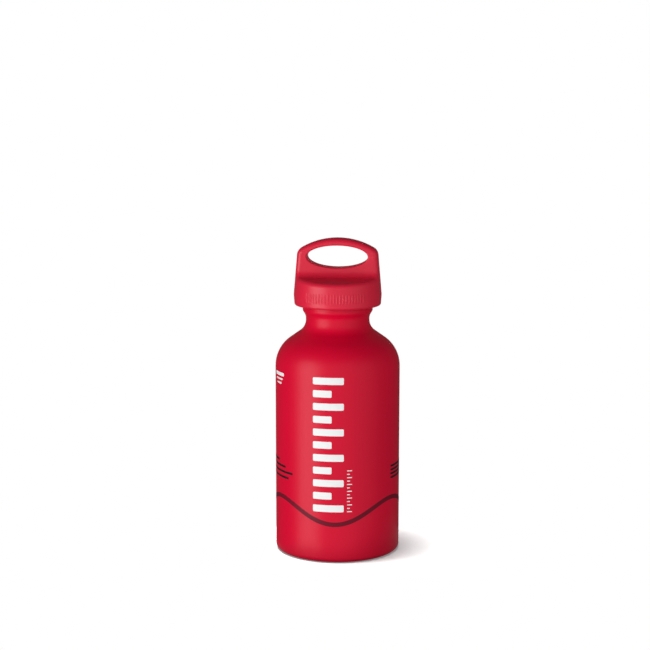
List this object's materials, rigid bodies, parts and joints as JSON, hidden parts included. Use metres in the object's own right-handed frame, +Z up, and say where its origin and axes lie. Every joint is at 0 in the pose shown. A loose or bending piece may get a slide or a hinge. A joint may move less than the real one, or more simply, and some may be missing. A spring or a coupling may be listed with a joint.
{
  "type": "camping fuel bottle",
  "caption": "Squat cylindrical fuel bottle with a rounded shoulder and short neck, closed by a push-and-turn screw cap with an oval carry loop.",
  "frame": {"origin": "centre of the bottle's foot, on the surface it stands on", "axes": "+Z up along the bottle's axis, and the cap's carry loop lies in the XZ plane when the cap is tight, its flat faces towards -Y and +Y"},
  "size_m": [0.065, 0.065, 0.1644],
  "materials": {
    "red_paint_on_aluminium": "satin",
    "red_plastic": "matte",
    "black_plastic": "matte",
    "gasket_rubber": "matte",
    "spring_steel": "polished"
  },
  "bodies": {
    "bottle": {"bottle_body": "red_paint_on_aluminium"},
    "seal": {"neck_gasket": "gasket_rubber"},
    "plug": {"threaded_plug": "black_plastic", "return_spring": "spring_steel"},
    "shell": {"outer_cap": "red_plastic", "retaining_ring": "red_plastic"}
  },
  "joints": [
    {"name": "cap_lift", "type": "slide", "parent": "bottle", "child": "seal", "axis": [0, 0, 1], "range_m": [0, 0.01426]},
    {"name": "cap_unscrew", "type": "hinge", "parent": "seal", "child": "plug", "pos_m": [0, 0, 0.1263], "axis": [0, 0, 1], "range_deg": [0, 1710]},
    {"name": "cap_push", "type": "slide", "parent": "plug", "child": "shell", "axis": [0, 0, -1], "range_m": [0, 0.0017], "stiffness_N_per_m": 600, "springref_m": -0.002, "deforming": ["return_spring"]}
  ],
  "couplings": [
    {"joint": "cap_lift", "follows": "cap_unscrew", "m_per_rad": 0.00047746}
  ]
}
